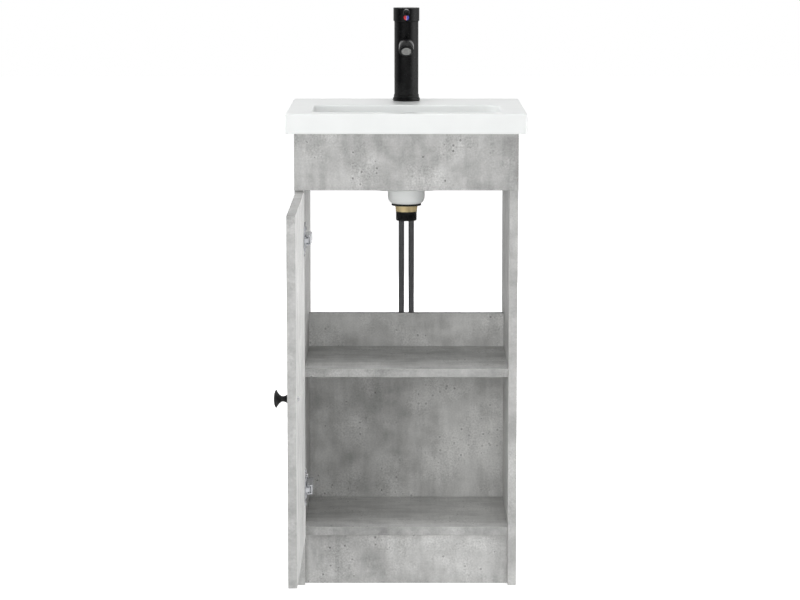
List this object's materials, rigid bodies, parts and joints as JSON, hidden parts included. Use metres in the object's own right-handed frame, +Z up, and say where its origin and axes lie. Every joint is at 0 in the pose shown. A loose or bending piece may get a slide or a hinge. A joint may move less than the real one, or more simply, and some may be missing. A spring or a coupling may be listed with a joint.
{
  "type": "vanity unit with sink",
  "caption": "Narrow floor-standing bathroom vanity: concrete-grey board cabinet with a hinged door, white ceramic countertop basin, black lever mixer tap and hoses.",
  "frame": {"origin": "on the floor under the middle of the plinth panel, 23.5 mm behind the side panels' front edges", "axes": "+Z up, the open front and the door face -Y, +X to the right seen from the front"},
  "size_m": [0.4269, 0.7646, 1.011],
  "materials": {
    "concrete_board": "matt concrete-grey laminate on particle board",
    "beech_dowel": "plain beech",
    "white_ceramic": "glossy white glaze",
    "black_tap": "satin black coating on brass",
    "black_knob": "matt black coating on zinc",
    "nickel_steel": "bright nickel plate",
    "chrome_brass": "polished chrome plate",
    "yellow_brass": "bare turned brass",
    "black_rubber": "smooth black rubber",
    "black_plastic": "moulded black plastic",
    "white_plastic": "moulded white plastic",
    "grey_plastic": "moulded grey plastic",
    "black_hose": "glossy black hose jacket",
    "red_blue_dot": "half red, half blue inlay"
  },
  "bodies": {
    "cabinet": {"side_panel_left": "concrete_board", "side_panel_right": "concrete_board", "bottom_shelf": "concrete_board", "middle_shelf": "concrete_board", "fascia_panel": "concrete_board", "plinth_panel": "concrete_board", "back_panel": "concrete_board", "rear_rail": "concrete_board", "bottom_shelf_dowel_left_front": "beech_dowel", "bottom_shelf_dowel_left_rear": "beech_dowel", "bottom_shelf_dowel_right_front": "beech_dowel", "bottom_shelf_dowel_right_rear": "beech_dowel", "middle_shelf_dowel_left_front": "beech_dowel", "middle_shelf_dowel_left_rear": "beech_dowel", "middle_shelf_dowel_right_front": "beech_dowel", "middle_shelf_dowel_right_rear": "beech_dowel", "basin": "white_ceramic", "waste_body": "chrome_brass", "waste_gasket": "black_rubber", "waste_nut": "yellow_brass", "waste_tail": "black_plastic", "tap_base_seal": "black_rubber", "tap_base_ring": "black_tap", "tap_body": "black_tap", "aerator_housing": "grey_plastic", "aerator_insert": "grey_plastic", "cartridge_body": "white_plastic", "cartridge_nut": "yellow_brass", "tap_stud": "nickel_steel", "horseshoe_washer": "nickel_steel", "stud_nut": "yellow_brass", "hot_hose": "black_hose", "cold_hose": "black_hose", "hot_hose_ferrule": "nickel_steel", "cold_hose_ferrule": "nickel_steel", "hot_hose_nut": "chrome_brass", "cold_hose_nut": "chrome_brass", "lower_hinge_plate": "nickel_steel", "lower_hinge_arm": "nickel_steel", "lower_plate_screw_top": "nickel_steel", "lower_plate_screw_bottom": "nickel_steel", "upper_hinge_plate": "nickel_steel", "upper_hinge_arm": "nickel_steel", "upper_plate_screw_top": "nickel_steel", "upper_plate_screw_bottom": "nickel_steel"},
    "door": {"door_panel": "concrete_board", "door_knob": "black_knob", "knob_screw": "nickel_steel", "lower_hinge_cup": "nickel_steel", "upper_hinge_cup": "nickel_steel"},
    "handle_carrier": {"cartridge_carrier": "white_plastic"},
    "handle": {"cartridge_stem": "yellow_brass", "handle_cap": "black_tap", "lever_pin": "black_tap", "indicator": "red_blue_dot"},
    "plug": {"waste_plug": "chrome_brass"},
    "lower_outer_link": {"lower_hinge_outer_link": "nickel_steel"},
    "lower_inner_link": {"lower_hinge_inner_link": "nickel_steel"},
    "upper_outer_link": {"upper_hinge_outer_link": "nickel_steel"},
    "upper_inner_link": {"upper_hinge_inner_link": "nickel_steel"}
  },
  "joints": [
    {"name": "door_swing", "type": "hinge", "parent": "cabinet", "child": "door", "pos_m": [-0.1873, -0.0348, 0.3965], "axis": [0, 0, 1], "range_deg": [-15, 90]},
    {"name": "lower_outer_link_turn", "type": "hinge", "parent": "cabinet", "child": "lower_outer_link", "pos_m": [-0.17109, -0.0282, 0.175], "axis": [0, 0, 1], "range_deg": [-54, 9.5]},
    {"name": "lower_inner_link_turn", "type": "hinge", "parent": "cabinet", "child": "lower_inner_link", "pos_m": [-0.17087, -0.03331, 0.175], "axis": [0, 0, 1], "range_deg": [-54, 9.5]},
    {"name": "upper_outer_link_turn", "type": "hinge", "parent": "cabinet", "child": "upper_outer_link", "pos_m": [-0.17109, -0.0282, 0.618], "axis": [0, 0, 1], "range_deg": [-54, 9.5]},
    {"name": "upper_inner_link_turn", "type": "hinge", "parent": "cabinet", "child": "upper_inner_link", "pos_m": [-0.17087, -0.03331, 0.618], "axis": [0, 0, 1], "range_deg": [-54, 9.5]},
    {"name": "handle_turn", "type": "hinge", "parent": "cabinet", "child": "handle_carrier", "pos_m": [0, 0.2855, 0.9803], "axis": [0, 0, 1], "range_deg": [-45, 45]},
    {"name": "handle_lift", "type": "hinge", "parent": "handle_carrier", "child": "handle", "pos_m": [0, 0.2855, 0.9803], "axis": [-1, 0, 0], "range_deg": [0, 22]},
    {"name": "plug_lift", "type": "slide", "parent": "cabinet", "child": "plug", "axis": [0, 0, 1], "range_m": [0, 0.008]}
  ],
  "couplings": [
    {"joint": "lower_outer_link_turn", "follows": "door_swing", "ratio": -0.59002},
    {"joint": "lower_inner_link_turn", "follows": "door_swing", "ratio": -0.59349},
    {"joint": "upper_outer_link_turn", "follows": "door_swing", "ratio": -0.59002},
    {"joint": "upper_inner_link_turn", "follows": "door_swing", "ratio": -0.59349}
  ]
}
